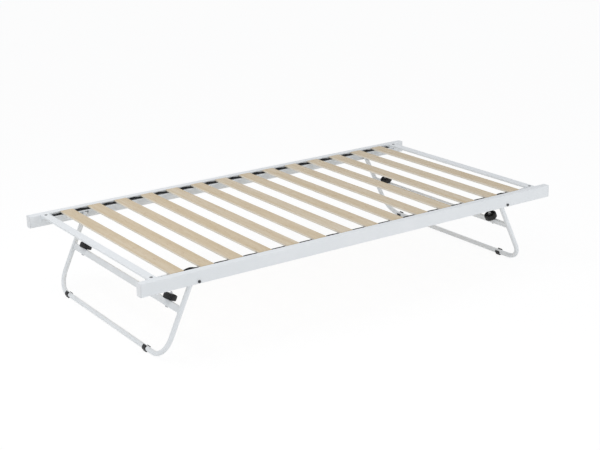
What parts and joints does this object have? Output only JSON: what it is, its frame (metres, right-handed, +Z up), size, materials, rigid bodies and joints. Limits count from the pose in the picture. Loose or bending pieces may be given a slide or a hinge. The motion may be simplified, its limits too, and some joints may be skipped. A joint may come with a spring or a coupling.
{
  "type": "trundle bed",
  "caption": "Low single slatted bed on two folding tubular legs, with wheels that take over when the legs fold flat underneath.",
  "frame": {"origin": "on the floor under the middle of the standing bed", "axes": "+X along the bed to the foot end, +Y towards the rear side rail, +Z up"},
  "size_m": [1.915, 0.998, 0.333],
  "materials": {
    "white_powder_coat": "satin white powder coat on steel tube",
    "slat_wood": "planed, clear satin lacquer",
    "black_webbing": "woven polypropylene webbing",
    "white_plastic": "moulded, fine matt",
    "wheel_nylon": "moulded nylon",
    "clip_plastic": "moulded polypropylene",
    "black_fastener": "black oxide steel",
    "zinc_fastener": "bright zinc plate"
  },
  "bodies": {
    "bed_frame": {"side_rail_front": "white_powder_coat", "side_rail_rear": "white_powder_coat", "rail_cap_head_front": "white_plastic", "rail_cap_head_rear": "white_plastic", "rail_cap_foot_front": "white_plastic", "rail_cap_foot_rear": "white_plastic", "slat_ledge_front": "white_powder_coat", "slat_ledge_rear": "white_powder_coat", "cross_rail_head": "white_powder_coat", "cross_rail_foot": "white_powder_coat", "cross_rail_bolts": "black_fastener", "cross_rail_washers": "zinc_fastener", "cross_rail_nuts": "zinc_fastener", "slat_01": "slat_wood", "slat_02": "slat_wood", "slat_03": "slat_wood", "slat_04": "slat_wood", "slat_05": "slat_wood", "slat_06": "slat_wood", "slat_07": "slat_wood", "slat_08": "slat_wood", "slat_09": "slat_wood", "slat_10": "slat_wood", "slat_11": "slat_wood", "slat_12": "slat_wood", "slat_13": "slat_wood", "slat_14": "slat_wood", "slat_strap_front": "black_webbing", "slat_strap_rear": "black_webbing", "strap_staples": "zinc_fastener", "strap_rivets": "black_fastener", "leg_stops": "white_powder_coat", "pivot_bolts": "black_fastener", "pivot_spacers": "zinc_fastener", "pivot_washers": "zinc_fastener", "pivot_nuts": "zinc_fastener"},
    "head_leg": {"leg_tube_head": "white_powder_coat", "wheel_bar_head": "white_powder_coat", "leg_plugs_head": "white_plastic", "axle_bolts_head": "zinc_fastener", "axle_washers_head": "zinc_fastener", "axle_sleeves_head": "zinc_fastener", "axle_nuts_head": "zinc_fastener", "foot_clip_head_front": "clip_plastic", "foot_clip_head_rear": "clip_plastic"},
    "wheel_head_front_body": {"wheel_head_front": "wheel_nylon"},
    "wheel_head_rear_body": {"wheel_head_rear": "wheel_nylon"},
    "foot_leg": {"leg_tube_foot": "white_powder_coat", "wheel_bar_foot": "white_powder_coat", "leg_plugs_foot": "white_plastic", "axle_bolts_foot": "zinc_fastener", "axle_washers_foot": "zinc_fastener", "axle_sleeves_foot": "zinc_fastener", "axle_nuts_foot": "zinc_fastener", "foot_clip_foot_front": "clip_plastic", "foot_clip_foot_rear": "clip_plastic"},
    "wheel_foot_front_body": {"wheel_foot_front": "wheel_nylon"},
    "wheel_foot_rear_body": {"wheel_foot_rear": "wheel_nylon"}
  },
  "joints": [
    {"name": "head_leg_fold", "type": "hinge", "parent": "bed_frame", "child": "head_leg", "pos_m": [-0.727, 0, 0.292], "axis": [0, -1, 0], "range_deg": [0, 115.5]},
    {"name": "wheel_head_front_spin", "type": "hinge", "parent": "head_leg", "child": "wheel_head_front_body", "pos_m": [-0.77014, -0.352, 0.20156], "axis": [0.4305, 0, 0.9026], "continuous": true},
    {"name": "wheel_head_rear_spin", "type": "hinge", "parent": "head_leg", "child": "wheel_head_rear_body", "pos_m": [-0.77014, 0.352, 0.20156], "axis": [0.4305, 0, 0.9026], "continuous": true},
    {"name": "foot_leg_fold", "type": "hinge", "parent": "bed_frame", "child": "foot_leg", "pos_m": [0.727, 0, 0.292], "axis": [0, 1, 0], "range_deg": [0, 115.5]},
    {"name": "wheel_foot_front_spin", "type": "hinge", "parent": "foot_leg", "child": "wheel_foot_front_body", "pos_m": [0.77014, -0.352, 0.20156], "axis": [-0.4305, 0, 0.9026], "continuous": true},
    {"name": "wheel_foot_rear_spin", "type": "hinge", "parent": "foot_leg", "child": "wheel_foot_rear_body", "pos_m": [0.77014, 0.352, 0.20156], "axis": [-0.4305, 0, 0.9026], "continuous": true}
  ]
}
